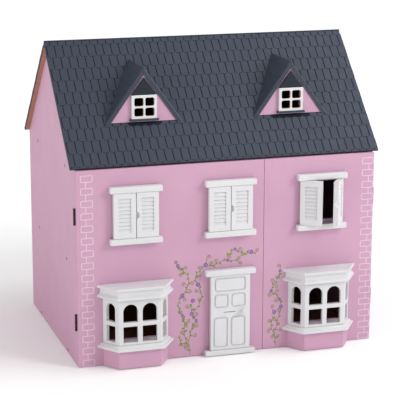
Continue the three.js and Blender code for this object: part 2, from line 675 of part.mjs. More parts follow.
function addBay(name, x) {
  const group = new THREE.Group();
  group.position.set(x, FRONT_Y, 0);
  house.add(group);
  const { plinth, sill, frame } = BAY_LEVELS;
  const plate = (offset, low, high) => planPrism(outline(bayPlan(offset)), low, high);
  piece(group, `${name}_plinth`, plate(0, plinth, sill - GAP), PINK);
  const nose = plate(BAY_PROUD, sill, sill + BAY_NOSE.sill);
  const upstand = plate(BAY_FRIEZE_PROUD, sill, frame - GAP);
  piece(group, `${name}_sill`, carved(nose, { add: [upstand] }), WHITE);
  piece(group, `${name}_frame`, bayFrame(), WHITE);
  piece(group, `${name}_cornice`, bayCornice(), WHITE);
}

// ---- Assembly ----
addCase();
addRoof();
addRidgeHinge();
for (const [name, side] of [["left", -1], ["right", 1]]) {
  piece(house, `${name}_front_leaf`, frontLeaf(side), PINK);
  addHinge(`${name}_lower_hinge`, side, HINGE_CENTRES_Z[0]);
  addHinge(`${name}_upper_hinge`, side, HINGE_CENTRES_Z[1]);
  addDormer(`${name}_dormer`, side * DORMER_AXIS_X);
  addBay(`${name}_bay`, side * SIDE_AXIS_X);
}
const CLOSED_SHUTTERS = { left: 0, right: 0 };
addWindow("left_window", -SIDE_AXIS_X, CLOSED_SHUTTERS);
addWindow("middle_window", 0, CLOSED_SHUTTERS);
addWindow("right_window", SIDE_AXIS_X, OPEN_SHUTTERS);
addDoor();

export default house;
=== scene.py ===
import json
import math
import random

import bmesh
import bpy
from mathutils import Matrix, Vector


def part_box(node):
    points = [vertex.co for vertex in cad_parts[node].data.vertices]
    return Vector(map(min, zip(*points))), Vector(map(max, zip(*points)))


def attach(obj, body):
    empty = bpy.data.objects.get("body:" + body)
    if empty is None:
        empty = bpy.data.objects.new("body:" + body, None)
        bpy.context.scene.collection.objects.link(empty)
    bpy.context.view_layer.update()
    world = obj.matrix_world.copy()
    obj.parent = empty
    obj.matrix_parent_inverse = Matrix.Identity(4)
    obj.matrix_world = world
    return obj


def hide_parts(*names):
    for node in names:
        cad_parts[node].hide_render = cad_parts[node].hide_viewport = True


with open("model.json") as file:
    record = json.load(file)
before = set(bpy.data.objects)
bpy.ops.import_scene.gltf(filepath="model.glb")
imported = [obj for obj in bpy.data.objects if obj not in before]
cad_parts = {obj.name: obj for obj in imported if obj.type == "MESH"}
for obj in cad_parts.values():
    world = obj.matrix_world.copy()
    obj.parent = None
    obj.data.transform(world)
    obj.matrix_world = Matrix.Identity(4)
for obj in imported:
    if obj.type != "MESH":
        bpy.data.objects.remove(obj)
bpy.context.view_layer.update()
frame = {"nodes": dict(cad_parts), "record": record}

# The house faces -Y and stands on z = 0. Plans and profiles below are in millimetres, and MM turns
# them into the scene's metres.
MM = 0.001
NODES = frame["nodes"]
BODIES = frame["record"]["behaviour"]["bodies"]
BODY_OF = {node: body for body, nodes in BODIES.items() for node in nodes}
SLOT_OF = {row["node"]: row["material_slot"] for row in frame["record"]["subparts"]}
SIDES = (("left", -1), ("right", 1))
WINDOWS = ("left", "middle", "right")


def box_mm(node):
    """The lowest and highest corner of a CAD node, in millimetres."""
    low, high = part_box(node)
    return low / MM, high / MM


FRONT_LOW = box_mm("left_front_leaf")[0]
FRONT_HALF = -FRONT_LOW.x


# ---- Camera ----
CAMERA_PLACE = (-0.9285, -2.973, 1.0105)
CAMERA_HEADING = math.radians(17.52)  # from +Y towards +X
CAMERA_TILT = math.radians(13.58)  # downwards
CAMERA_ROLL = math.radians(0.14)
CAMERA_LENS = 140.4
CAMERA_SENSOR = 36


def add_camera():
    data = bpy.data.cameras.new("camera")
    data.sensor_width = CAMERA_SENSOR
    data.lens = CAMERA_LENS
    camera = bpy.data.objects.new("camera", data)
    bpy.context.scene.collection.objects.link(camera)
    camera.location = CAMERA_PLACE
    level = math.cos(CAMERA_TILT)
    ahead = Vector((
        math.sin(CAMERA_HEADING) * level,
        math.cos(CAMERA_HEADING) * level,
        -math.sin(CAMERA_TILT),
    ))
    turn = Matrix.Rotation(CAMERA_ROLL, 3, "Z").to_quaternion()
    camera.rotation_mode = "QUATERNION"
    camera.rotation_quaternion = ahead.to_track_quat("-Z", "Y") @ turn
    bpy.context.scene.camera = camera


# ---- Materials ----
# A mix node has sockets of one name for each data type, so its colour sockets go by number.
MIX_COLOR_A, MIX_COLOR_B, MIX_COLOR_OUT = 6, 7, 2


class Surface:
    """A node material. add() makes a node, sets its values and links its inputs."""

    def __init__(self, name):
        self.material = bpy.data.materials.new(name)
        self.material.use_nodes = True
        self.tree = self.material.node_tree
        self.shader = self.tree.nodes["Principled BSDF"]
        self.place = self.add("ShaderNodeTexCoord").outputs["Object"]

    def add(self, kind, values=None, links=None, **settings):
        node = self.tree.nodes.new(kind)
        for key, value in settings.items():
            setattr(node, key, value)
        for key, value in (values or {}).items():
            node.inputs[key].default_value = value
        for key, socket in (links or {}).items():
            self.tree.links.new(socket, node.inputs[key])
        return node

    def stretched(self, scale):
        return self.add("ShaderNodeMapping", {"Scale": scale}, {"Vector": self.place}).outputs["Vector"]

    def noise(self, scale, detail=3.0, roughness=0.55, vector=None):
        values = {"Scale": scale, "Detail": detail, "Roughness": roughness}
        return self.add("ShaderNodeTexNoise", values, {"Vector": vector or self.place}).outputs["Fac"]

    def ramp(self, factor, low, high):
        node = self.add("ShaderNodeValToRGB", links={"Fac": factor})
        for element, (position, color) in zip(node.color_ramp.elements, (low, high)):
            element.position = position
            element.color = (*color, 1)
        return node.outputs["Color"]

    def spread(self, factor, low, high, to_low, to_high):
        values = {"From Min": low, "From Max": high, "To Min": to_low, "To Max": to_high}
        return self.add("ShaderNodeMapRange", values, {"Value": factor}).outputs["Result"]

    def bump(self, height, strength, distance, normal=None):
        links = {"Height": height}
        if normal is not None:
            links["Normal"] = normal
        values = {"Strength": strength, "Distance": distance}
        return self.add("ShaderNodeBump", values, links).outputs["Normal"]

    def mixed(self, factor, color, other):
        values = {MIX_COLOR_B: (*other, 1)}
        links = {"Factor": factor, MIX_COLOR_A: color}
        return self.add("ShaderNodeMix", values, links, data_type="RGBA").outputs[MIX_COLOR_OUT]

    def feed(self, color=None, roughness=None, normal=None):
        for name, socket in (("Base Color", color), ("Roughness", roughness), ("Normal", normal)):
            if socket is not None:
                self.tree.links.new(socket, self.shader.inputs[name])


def shade(color, factor):
    return tuple(min(1.0, channel * factor) for channel in color)


def paint(name, color, roughness, worn=None, worn_share=0.3, gloss=0.5):
    """Sprayed satin paint with faint mottling and orange peel; worn is the colour of rubbed specks."""
    surface = Surface(name)
    surface.shader.inputs["Specular IOR Level"].default_value = gloss
    mottle = surface.noise(11.0)
    tone = surface.ramp(mottle, (0.3, shade(color, 0.97)), (0.7, shade(color, 1.025)))
    if worn is not None:
        chips = surface.noise(380.0, detail=4.0)
        edge = 0.75 - worn_share * 0.5
        tone = surface.mixed(surface.spread(chips, edge, edge + 0.04, 0.0, 1.0), tone, worn)
    sheen = surface.spread(surface.noise(55.0), 0.3, 0.7, roughness - 0.05, roughness + 0.06)
    peel = surface.bump(surface.noise(900.0, detail=2.0), 0.12, 0.0002)
    surface.feed(tone, sheen, surface.bump(surface.noise(80.0), 0.06, 0.0006, peel))
    return surface.material


def fibreboard(name, color):
    """Bare hardboard: fine fibres, darker specks and a dull face."""
    surface = Surface(name)
    fibres = surface.noise(1.0, detail=6.0, roughness=0.7, vector=surface.stretched((240, 60, 240)))
    tone = surface.ramp(fibres, (0.25, shade(color, 0.8)), (0.75, shade(color, 1.2)))
    specks = surface.spread(surface.noise(650.0), 0.62, 0.72, 0.0, 0.6)
    tone = surface.mixed(specks, tone, shade(color, 0.55))
    surface.feed(tone, surface.spread(fibres, 0.3, 0.7, 0.68, 0.85), surface.bump(fibres, 0.25, 0.0003))
    return surface.material


def metal(name, color):
    """Dark antiqued metal with an uneven patina."""
    surface = Surface(name)
    surface.shader.inputs["Metallic"].default_value = 0.85
    patina = surface.noise(260.0, detail=5.0)
    tone = surface.ramp(patina, (0.3, shade(color, 0.6)), (0.75, shade(color, 1.9)))
    surface.feed(tone, surface.spread(patina, 0.3, 0.7, 0.3, 0.5), surface.bump(patina, 0.15, 0.0002))
    return surface.material


def ink(name, color, unevenness):
    """Printed decoration, a little uneven in strength."""
    surface = Surface(name)
    density = surface.noise(520.0, detail=2.0)
    pale, dense = shade(color, 1 - unevenness), shade(color, 1 + unevenness)
    tone = surface.ramp(density, (0.3, pale), (0.7, dense))
    surface.feed(tone, surface.spread(density, 0.3, 0.7, 0.42, 0.5), surface.bump(density, 0.05, 0.0001))
    return surface.material


PINK_COLOR = (0.575, 0.338, 0.465)
WHITE_COLOR = (0.67, 0.668, 0.68)
SLATE_COLOR = (0.038, 0.048, 0.073)
BOARD_COLOR = (0.42, 0.205, 0.135)
PINK_GLOSS = 0.12
WHITE_GLOSS = 0.3
SLATE_GLOSS = 0.3
DULL_GLOSS = 0.2

PINK = paint("pink_paint", PINK_COLOR, 0.5, gloss=PINK_GLOSS)
# The pink and white edge paints are a little lighter than the faces, as a painted highlight on the
# rounded edges; their darker specks are worn paint.
PINK_EDGE_HIGHLIGHT = paint(
    "pink_paint_worn_edge_highlight", shade(PINK_COLOR, 1.05), 0.47,
    worn=(0.50, 0.24, 0.30), worn_share=0.25, gloss=PINK_GLOSS)
WHITE = paint("white_paint", WHITE_COLOR, 0.45, gloss=WHITE_GLOSS)
WHITE_EDGE_HIGHLIGHT = paint(
    "white_paint_worn_edge_highlight", shade(WHITE_COLOR, 1.03), 0.4,
    worn=(0.62, 0.58, 0.56), worn_share=0.2, gloss=WHITE_GLOSS)
# Painted shade: a darker white for the door's panel grooves and letter slot, standing in for the shade
# inside them.
WHITE_GROOVE_SHADE = paint("white_paint_groove_shade", (0.60, 0.60, 0.625), 0.45)
SLATE = paint("slate_paint", SLATE_COLOR, 0.55, gloss=SLATE_GLOSS)
SLATE_EDGE = paint(
    "slate_paint_edge", shade(SLATE_COLOR, 0.9), 0.5,
    worn=(0.09, 0.10, 0.12), worn_share=0.3, gloss=SLATE_GLOSS)
# Painted shade: the board's face sunk between the tiles has the same slate paint, darkened for the shade
# in the joints; on the dormers only slightly.
SLATE_JOINT_SHADE = paint("slate_paint_joint_shade", shade(SLATE_COLOR, 0.4), 0.75, gloss=0.15)
SLATE_DORMER_JOINT_SHADE = paint("slate_paint_dormer_joint_shade", shade(SLATE_COLOR, 0.92), 0.6, gloss=0.25)
# Painted shade: darker slate for the dormer pediments, for the shadow under the slopes' lips.
SLATE_PEDIMENT_SHADE = paint("slate_paint_pediment_shade", shade(SLATE_COLOR, 0.48), 0.6, gloss=DULL_GLOSS)
# Painted highlight: much lighter slate on the tiles' up-facing chamfers, for the glints where they catch
# the light.
SLATE_UPPER_HIGHLIGHT = paint("slate_paint_upper_highlight", shade(SLATE_COLOR, 4.0), 0.4, gloss=SLATE_GLOSS)
# Partly rubbed paint and partly painted highlight: a light brown line along the dormers' ridges, where
# the rounded edge catches the light.
SLATE_RIDGE_WEAR_AND_HIGHLIGHT = paint(
    "slate_paint_rubbed_and_highlit", (0.36, 0.31, 0.25), 0.45, worn=(0.10, 0.10, 0.10), worn_share=0.35)
# Painted highlight: light grey on the rounded edges of the dormers' right-hand slopes, which face the
# light; the darker specks are worn paint.
SLATE_RAKE_HIGHLIGHT = paint(
    "slate_paint_rake_highlight", (0.15, 0.15, 0.15), 0.45, worn=(0.06, 0.065, 0.075), worn_share=0.45)
# Painted shade: the bare board's edge along each eave, darkened to near black for the shade under the
# eave.
EAVE_SHADE = paint("eave_edge_shade_paint", (0.05, 0.026, 0.027), 0.6, gloss=DULL_GLOSS)
BARE = fibreboard("bare_fibreboard", BOARD_COLOR)
BRONZE = metal("dark_bronze", (0.055, 0.034, 0.026))
SCREW = metal("screw_bronze", (0.15, 0.06, 0.045))
LINE_INK = ink("brick_line_ink", (0.72, 0.54, 0.65), 0.05)
STEM_INK = ink("stem_ink", (0.22, 0.215, 0.075), 0.15)
LEAF_INK = ink("leaf_ink", (0.17, 0.28, 0.035), 0.2)
PETAL_INK = ink("petal_ink", (0.18, 0.07, 0.32), 0.15)
HEART_INK = ink("flower_heart_ink", (0.40, 0.24, 0.52), 0.08)

FINISHES = {
    "pink_paint": (PINK, PINK_EDGE_HIGHLIGHT),
    "white_paint": (WHITE, WHITE_EDGE_HIGHLIGHT),
    "slate_paint": (SLATE, SLATE_EDGE),
    "bare_board": (BARE, BARE),
    "bronze": (BRONZE, BRONZE),
}


# ---- Mesh helpers ----
# Places in a piece's list of materials, after the one that its faces take.
ROUNDING, RECESS = 1, 2
WELD_DISTANCE = 2e-6  # metres
FLAT_ANGLE = math.radians(0.6)  # faces that turn less than this are one flat face
BEVELLED_ANGLES = (28, 150)  # degrees between the faces at an edge that can be rounded
BEVEL_STEPS = 3
SHARPEST_SMOOTH = math.radians(38)
NO_EDGE = math.inf  # as the shortest edge to round: none is


def add_object(name, bm, materials):
    """A new object made from a mesh, with its faces turned outwards."""
    bmesh.ops.recalc_face_normals(bm, faces=bm.faces)
    mesh = bpy.data.meshes.new(name)
    bm.to_mesh(mesh)
    bm.free()
    for material in materials:
        mesh.materials.append(material)
    shown = bpy.data.objects.new(name, mesh)
    bpy.context.scene.collection.objects.link(shown)
    return shown


def add_piece(name, bm, materials, body, slot, replaced=()):
    """A shown piece that rides on a body, with even shading over its flat faces."""
    for face in bm.faces:
        face.smooth = True
    bm.normal_update()
    for edge in bm.edges:
        edge.smooth = len(edge.link_faces) == 2 and edge.calc_face_angle(0) < SHARPEST_SMOOTH
    shown = add_object(name, bm, materials)
    modifier = shown.modifiers.new("even_normals", "WEIGHTED_NORMAL")
    modifier.keep_sharp = True
    modifier.weight = 100
    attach(shown, body)
    if replaced:
        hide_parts(*replaced)


def clean_copy(node):
    """A CAD node's shape with its flat faces whole again, so that its edges can be rounded."""
    bm = bmesh.new()
    bm.from_mesh(NODES[node].data)
    bmesh.ops.remove_doubles(bm, verts=bm.verts, dist=WELD_DISTANCE)
    bmesh.ops.dissolve_limit(bm, angle_limit=FLAT_ANGLE, verts=bm.verts, edges=bm.edges)
    bm.normal_update()
    return bm


def round_edges(bm, width, shortest, wanted=None):
    """Rounds the convex edges that are at least shortest long and that wanted picks.

    Width and shortest are in millimetres.
    """
    least, most = BEVELLED_ANGLES
    edges = []
    for edge in bm.edges:
        if len(edge.link_faces) != 2 or edge.calc_length() < shortest * MM or not edge.is_convex:
            continue
        angle = math.degrees(edge.calc_face_angle(0))
        if least < angle < most and (wanted is None or wanted(edge)):
            edges.append(edge)
    bmesh.ops.bevel(
        bm, geom=edges, offset=width * MM, segments=BEVEL_STEPS, profile=0.5, affect="EDGES",
        clamp_overlap=False, material=ROUNDING)


def softened(node, width, shortest, materials=None):
    """The piece shown for a CAD node: the same shape with rounded, slightly worn edges; on pink and
    white pieces they are also painted a little lighter as painted highlight.
    """
    bm = clean_copy(node)
    round_edges(bm, width, shortest)
    slot = SLOT_OF[node]
    add_piece(f"{node}_finish", bm, materials or FINISHES[slot], BODY_OF[node], slot, [node])


def arc(centre_a, centre_b, radius, start, end, steps):
    """Points along an arc, with its angles in degrees."""
    points = []
    for k in range(steps + 1):
        angle = math.radians(start + (end - start) * k / steps)
        points.append((centre_a + radius * math.cos(angle), centre_b + radius * math.sin(angle)))
    return points


def rounded_rectangle(left, right, bottom, top, radius, steps=5):
    """An outline with round corners, anticlockwise from the lower left one."""
    return [
        *arc(left + radius, bottom + radius, radius, 180, 270, steps),
        *arc(right - radius, bottom + radius, radius, 270, 360, steps),
        *arc(right - radius, top - radius, radius, 0, 90, steps),
        *arc(left + radius, top - radius, radius, 90, 180, steps),
    ]


def closed_loop(bm, points):
    """New vertices at points given in millimetres."""
    return [bm.verts.new(Vector(point) * MM) for point in points]


def skin(bm, loop, other, index=0):
    """Quads between two closed loops with the same number of vertices."""
    for k in range(len(loop)):
        face = bm.faces.new((loop[k - 1], loop[k], other[k], other[k - 1]))
        face.material_index = index


def lofted(bm, rings, index=0):
    """A closed solid through rings of points, with a flat cap at each end."""
    loops = [closed_loop(bm, ring) for ring in rings]
    for loop, following in zip(loops, loops[1:]):
        skin(bm, loop, following, index)
    for cap in (loops[0], loops[-1]):
        bm.faces.new(cap).material_index = index


def plate(bm, outline, place, bottom, top, index=0):
    """A thin closed plate over a plane; place turns (a, b, height) into a point."""
    lofted(bm, [[place(a, b, height) for a, b in outline] for height in (bottom, top)], index)


def circle(centre, radius, steps):
    """A closed round outline, with its first point not repeated."""
    return arc(centre[0], centre[1], radius, 0, 360 - 360 / steps, steps - 1)


def turned(bm, profile, place, steps):
    """A round solid from (radius, height) pairs, with a flat cap at each end."""
    lofted(bm, [
        [place(a, b, height) for a, b in circle((0, 0), radius, steps)] for radius, height in profile
    ])


# ---- Boards and hinges: the CAD shapes with rounded edges ----
def add_boards():
    for node in ("base_board", "first_floor", "attic_floor", "back_wall"):
        softened(node, 0.5, 20)
    for side, _ in SIDES:
        for storey in ("ground", "upper"):
            softened(f"{storey}_{side}_partition", 0.5, 20)
        softened(f"{side}_side_wall", 0.8, 40)
        softened(f"{side}_front_leaf", 1.0, 40)
        softened(f"{side}_bay_plinth", 0.8, 20)
        softened(f"{side}_bay_frame", 1.2, 60)
        for level in ("lower", "upper"):
            for leaf in ("fixed", "moving"):
                softened(f"{side}_{level}_hinge_{leaf}_leaf", 0.15, 25)
    for leaf in ("fixed", "moving"):
        softened(f"ridge_hinge_{leaf}_leaf", 0.15, 60)


# ---- Shuttered windows ----
def add_windows():
    for window in WINDOWS:
        softened(f"{window}_window_lintel", 1.8, 10)
        softened(f"{window}_window_sill", 1.8, 10)
        for hand, _ in SIDES:
            softened(f"{window}_window_{hand}_shutter", 0.6, 10)


# ---- Front door ----
DOOR_LOW, DOOR_HIGH = box_mm("front_door")  # pivot pins included
DOOR_EDGE = 0.9  # how far the leaf's edges are rounded
LEAST_CORNER = 0.05  # radius left at the corners of its front and back
PIN_LENGTH = 3
PIN_RADIUS = 1.5
PIN_ROOT = 1  # how far a pin reaches into the leaf
PIN_INSET = 5  # of its axis, from the leaf's left edge
DOOR_PIVOT = (DOOR_LOW.x + PIN_INSET, (DOOR_LOW.y + DOOR_HIGH.y) / 2)
DOOR_GROOVE = {"width": 3.4, "depth": 2.0, "radius": 6, "steps": 6}
DOOR_PANELS = (  # left, right, bottom and top
    (-33, 31, 129.5, 158),
    (-33.5, -4, 97, 125.5),
    (1, 31, 97, 125.5),
    (-35, -5, 17, 79),
    (0.5, 31, 17, 79),
)
LETTER_SLOT = (-14, 10.5, 87.3, 88.7)  # left, right, bottom and top
KNOB_ROSE_AND_NECK = ((3.4, 0), (3.6, 0.3), (3.5, 0.7), (2.6, 1.1), (1.7, 1.5))  # radius, height
KNOB_BALL_START = 20  # degrees from the ball's pole, where the neck meets it


def filled_face(bm, loops):
    """A flat face inside the first loop and outside the others."""
    edges = []
    for loop in loops:
        for k in range(len(loop)):
            edges.append(bm.edges.get((loop[k - 1], loop[k])) or bm.edges.new((loop[k - 1], loop[k])))
    bmesh.ops.triangle_fill(bm, use_beauty=True, edges=edges)


def door_groove(bm, panel):
    """A soft channel round one panel of the door, in the darker white of painted shade; returns its
    outer rim.
    """
    left, right, bottom, top = panel
    steps = DOOR_GROOVE["steps"]
    loops = []
    for k in range(steps + 1):
        inset = DOOR_GROOVE["width"] * k / steps
        sunk = DOOR_GROOVE["depth"] * math.sin(math.pi * k / steps) ** 0.8 if 0 < k < steps else 0
        corner = DOOR_GROOVE["radius"] - inset / 2
        outline = rounded_rectangle(left + inset, right - inset, bottom + inset, top - inset, corner)
        loops.append(closed_loop(bm, [(a, DOOR_LOW.y + sunk, b) for a, b in outline]))
    for loop, following in zip(loops, loops[1:]):
        skin(bm, loop, following, RECESS)
    bm.faces.new(loops[-1])
    return loops[0]


def door_rim(bm, bottom, top, inset, corner, y):
    """An outline of the door's leaf, so far inside its edges."""
    outline = rounded_rectangle(
        DOOR_LOW.x + inset, DOOR_HIGH.x - inset, bottom + inset, top - inset, corner)
    return closed_loop(bm, [(a, y, b) for a, b in outline])


def add_door():
    """The door's leaf, with grooved panels, a slot for letters and a pivot pin at each end."""
    bm = bmesh.new()
    bottom, top = DOOR_LOW.z + PIN_LENGTH, DOOR_HIGH.z - PIN_LENGTH
    levels = (DOOR_LOW.y + DOOR_EDGE, DOOR_HIGH.y - DOOR_EDGE)
    rims = [door_rim(bm, bottom, top, 0, DOOR_EDGE, y) for y in levels]
    skin(bm, *rims)
    faces = []
    for rim, y, direction in ((rims[0], DOOR_LOW.y, 1), (rims[1], DOOR_HIGH.y, -1)):
        for step in range(1, BEVEL_STEPS + 1):
            angle = math.radians(90 * step / BEVEL_STEPS)
            inset = DOOR_EDGE * (1 - math.cos(angle))
            level = y + direction * DOOR_EDGE * (1 - math.sin(angle))
            corner = DOOR_EDGE - inset + LEAST_CORNER
            following = door_rim(bm, bottom, top, inset, corner, level)
            skin(bm, rim, following, ROUNDING)
            rim = following
        faces.append(rim)
    left, right, low, high = LETTER_SLOT
    slot = ((left, low), (right, low), (right, high), (left, high))
    slot_front = closed_loop(bm, [(a, DOOR_LOW.y, b) for a, b in slot])
    slot_back = closed_loop(bm, [(a, DOOR_HIGH.y, b) for a, b in slot])
    # The slot's walls are painted darker as painted shade, like the grooves.
    skin(bm, slot_front, slot_back, RECESS)
    filled_face(bm, [faces[0], slot_front, *(door_groove(bm, panel) for panel in DOOR_PANELS)])
    filled_face(bm, [faces[1], slot_back])
    x, y = DOOR_PIVOT
    for start, end in ((DOOR_LOW.z, bottom + PIN_ROOT), (top - PIN_ROOT, DOOR_HIGH.z)):
        profile = ((PIN_RADIUS, start), (PIN_RADIUS, end))
        turned(bm, profile, lambda a, b, height: (x + a, y + b, height), 16)
    materials = (WHITE, WHITE_EDGE_HIGHLIGHT, WHITE_GROOVE_SHADE)
    add_piece("front_door_leaf", bm, materials, "door", "white_paint", ["front_door"])


def add_knob():
    """A turned knob: a thin rose against the door, a neck and a slightly flattened ball."""
    low, high = box_mm("door_knob")
    x, z = (low.x + high.x) / 2, (low.z + high.z) / 2
    ball = (high.x - low.x) / 2
    half_ball = ball * 0.96
    centre = high.y - low.y - half_ball
    tip = 0.05
    profile = [(tip, 0), *KNOB_ROSE_AND_NECK]
    for cosine, sine in arc(0, 0, 1, KNOB_BALL_START, 180, 16):
        profile.append((max(tip, ball * sine), centre - half_ball * cosine))
    bm = bmesh.new()
    turned(bm, profile, lambda a, b, height: (x + a, high.y - height, z + b), 40)
    add_piece("door_knob_turning", bm, FINISHES["white_paint"], "door", "white_paint", ["door_knob"])


def add_door_frame():
    softened("door_lintel", 1.8, 10)
    softened("door_step", 1.8, 10)
    add_door()
    add_knob()


# ---- Roof tiles, pressed into the faces of the roof panels and the dormers ----
PITCH = math.radians(44.2)
RIDGE_HALF_JOINT = 0.9  # from the ridge plane to each panel's mitred end
ROOF_EDGE = 0.1  # kept clear inside each panel's edges
ROOF_ROUNDING = 1.4
TILE_WIDTH = 16
TILE_COURSE = 28.4
TILE_CORNER = 4.0
TILE_JOINT = 1.35  # between neighbours in a course
TILE_LAP_JOINT = 0.8  # between one course and the next
TILE_DEPTH = 1.3
TILE_CHAMFER = 0.35
TILE_CHAMFER_DEPTH = TILE_CHAMFER * 0.8
TILE_ROOT = 0.2  # how far a tile reaches into the board
TILE_STAGGER = (5, -3)  # of even and odd courses, along the slope's foot
SMALLEST_TILE = 5  # square millimetres; a smaller remnant of a cut tile is left out
FIRST_COURSE = 3.5 - TILE_COURSE  # a strip of the course below shows along the eave
SQUARELY = 0.9  # cosine between a face's normal and the direction it counts as facing
RIDGE_LEAST = 0.05  # cosine to the way up the slope, from which a rounding belongs to the ridge
UPPER_CHAMFER_LEAST = 0.3  # and from which a chamfer belongs to a tile's upper end
BOARD_EDGE_LENGTH = 60  # shortest edge of a roof board that is rounded

DORMER_LOW, DORMER_HIGH = box_mm("right_dormer_gable")
DORMER_AXIS = (DORMER_LOW.x + DORMER_HIGH.x) / 2
DORMER_WELL = {"half": 25, "front": -134, "rear": -97}  # the part of the roof that a dormer covers
DORMER_RIM = 1.2  # plain strip along the ridge and the front edges of a dormer
DORMER_TILE_DEPTH = 0.6
DORMER_ROUNDING = 1.0

# What each part of a tiled roof is painted with. Roundings come second, as on every piece.
ROOF_PAINTS = {
    "board": SLATE,
    "rounding": SLATE_EDGE,
    "joint": SLATE_JOINT_SHADE,
    "underside": BARE,
    "eave": EAVE_SHADE,
    "ridge": SLATE_EDGE,
    "chamfer": SLATE_EDGE,
    "upper_chamfer": SLATE_UPPER_HIGHLIGHT,
}
DORMER_PAINTS = {
    "board": SLATE,
    "rounding": SLATE_EDGE,
    "joint": SLATE_DORMER_JOINT_SHADE,
    "underside": SLATE,
    "eave": SLATE,
    "ridge": SLATE_RIDGE_WEAR_AND_HIGHLIGHT,
    "chamfer": SLATE,
    "upper_chamfer": SLATE,
}
# The right-hand slopes' roundings take the painted highlight.
RIGHT_SLOPE_PAINTS = {**DORMER_PAINTS, "rounding": SLATE_RAKE_HIGHLIGHT}
PAINT_INDEX = {role: index for index, role in enumerate(ROOF_PAINTS)}


class Slope:
    """A flat roof face: across runs along its foot, up runs up to its ridge, and out is its normal."""

    def __init__(self, foot, across, up):
        self.foot, self.across, self.up = Vector(foot), Vector(across), Vector(up)
        self.out = self.across.cross(self.up)

    def at(self, a, b, height):
        return self.foot + self.across * a + self.up * b + self.out * height


def clipped(outline, limits):
    """What is left of an outline where a * x + b * y <= c, for each limit (a, b, c)."""
    for a, b, c in limits:
        kept = []
        for (x, y), (next_x, next_y) in zip(outline, outline[1:] + outline[:1]):
            room = c - a * x - b * y
            next_room = c - a * next_x - b * next_y
            if room >= 0:
                kept.append((x, y))
            if room * next_room < 0:
                share = room / (room - next_room)
                kept.append((x + share * (next_x - x), y + share * (next_y - y)))
        outline = kept
    return outline


def area_of(outline):
    following = outline[1:] + outline[:1]
    return abs(sum(x * next_y - next_x * y for (x, y), (next_x, next_y) in zip(outline, following))) / 2


def tile_outline(centre, foot):
    """A tile with round lower corners, whose head fills the notch between the two tiles above it."""
    half = (TILE_WIDTH - TILE_JOINT) / 2
    corner = TILE_CORNER
    head = foot + TILE_COURSE
    outline = [
        *arc(centre - half + corner, foot + corner, corner, 180, 270, 4),
        *arc(centre + half - corner, foot + corner, corner, 270, 360, 4),
        (centre + half, head - TILE_LAP_JOINT),
    ]
    notch = corner + TILE_JOINT / 2
    for k in range(7):
        across = notch * (1 - k / 3)
        drop = math.sqrt((corner + TILE_LAP_JOINT) ** 2 - (notch - abs(across)) ** 2)
        outline.append((centre + across, head + corner - drop))
    outline.append((centre - half, head - TILE_LAP_JOINT))
    return outline


def lay_tiles(bm, slope, limits, width, height, depth, hidden):
    """Raised tiles over a slope, cut to its limits, with none over the hidden rectangles."""
    tops = []
    courses = math.ceil((height - FIRST_COURSE) / TILE_COURSE)
    count = math.ceil(width / TILE_WIDTH) + 2
    for course in range(courses):
        foot = FIRST_COURSE + course * TILE_COURSE
        middle = foot + TILE_COURSE / 2
        for k in range(-count, count):
            centre = TILE_STAGGER[course % 2] + k * TILE_WIDTH
            if any(left < centre < right and low < middle < high for left, right, low, high in hidden):
                continue
            outline = clipped(tile_outline(centre, foot), limits)
            if len(outline) < 3 or area_of(outline) < SMALLEST_TILE:
                continue
            lower = closed_loop(bm, [slope.at(a, b, -depth - TILE_ROOT) for a, b in outline])
            upper = closed_loop(bm, [slope.at(a, b, -TILE_CHAMFER_DEPTH) for a, b in outline])
            skin(bm, lower, upper)
            bm.faces.new(lower)
            tops.append(bm.faces.new(upper))
    bm.normal_update()
    for face in tops:
        if face.normal.dot(slope.out) < 0:
            face.normal_flip()
    chamfers = bmesh.ops.inset_individual(
        bm, faces=tops, thickness=TILE_CHAMFER * MM, depth=TILE_CHAMFER_DEPTH * MM, use_even_offset=True)
    for face in chamfers["faces"]:
        face.normal_update()
        # Chamfers that face up the slope get the painted highlight.
        role = "upper_chamfer" if face.normal.dot(slope.up) > UPPER_CHAMFER_LEAST else "chamfer"
        face.material_index = PAINT_INDEX[role]


def add_tiled(node, slope, limits, width, height, paints, depth=TILE_DEPTH, rounding=ROOF_ROUNDING,
              hidden=()):
    """A roof board with its outer face sunk between raised tiles."""
    bm = clean_copy(node)
    everything = bm.verts[:] + bm.edges[:] + bm.faces[:]
    cut = bmesh.ops.bisect_plane(
        bm, geom=everything, dist=1e-7, plane_co=slope.at(0, 0, -depth) * MM, plane_no=slope.out,
        clear_outer=True)
    rim = [item for item in cut["geom_cut"] if isinstance(item, bmesh.types.BMEdge)]
    bmesh.ops.triangle_fill(bm, use_beauty=True, edges=rim)
    bmesh.ops.recalc_face_normals(bm, faces=bm.faces)
    round_edges(bm, rounding, BOARD_EDGE_LENGTH)
    bm.normal_update()
    for face in bm.faces:
        outward = face.normal.dot(slope.out)
        uphill = face.normal.dot(slope.up)
        # On the dormers the ridge's rounding takes the rubbed paint and painted highlight.
        if face.material_index == PAINT_INDEX["rounding"]:
            if uphill > RIDGE_LEAST:
                face.material_index = PAINT_INDEX["ridge"]
        # The face sunk between the tiles takes the joint paint, which is a painted shade.
        elif outward > SQUARELY:
            face.material_index = PAINT_INDEX["joint"]
        elif outward < -SQUARELY:
            face.material_index = PAINT_INDEX["underside"]
        # The eave's edge takes the painted shade.
        elif uphill < -SQUARELY:
            face.material_index = PAINT_INDEX["eave"]
    lay_tiles(bm, slope, limits, width, height, depth, hidden)
    add_piece(f"{node}_tiles", bm, paints.values(), BODY_OF[node], SLOT_OF[node], [node])


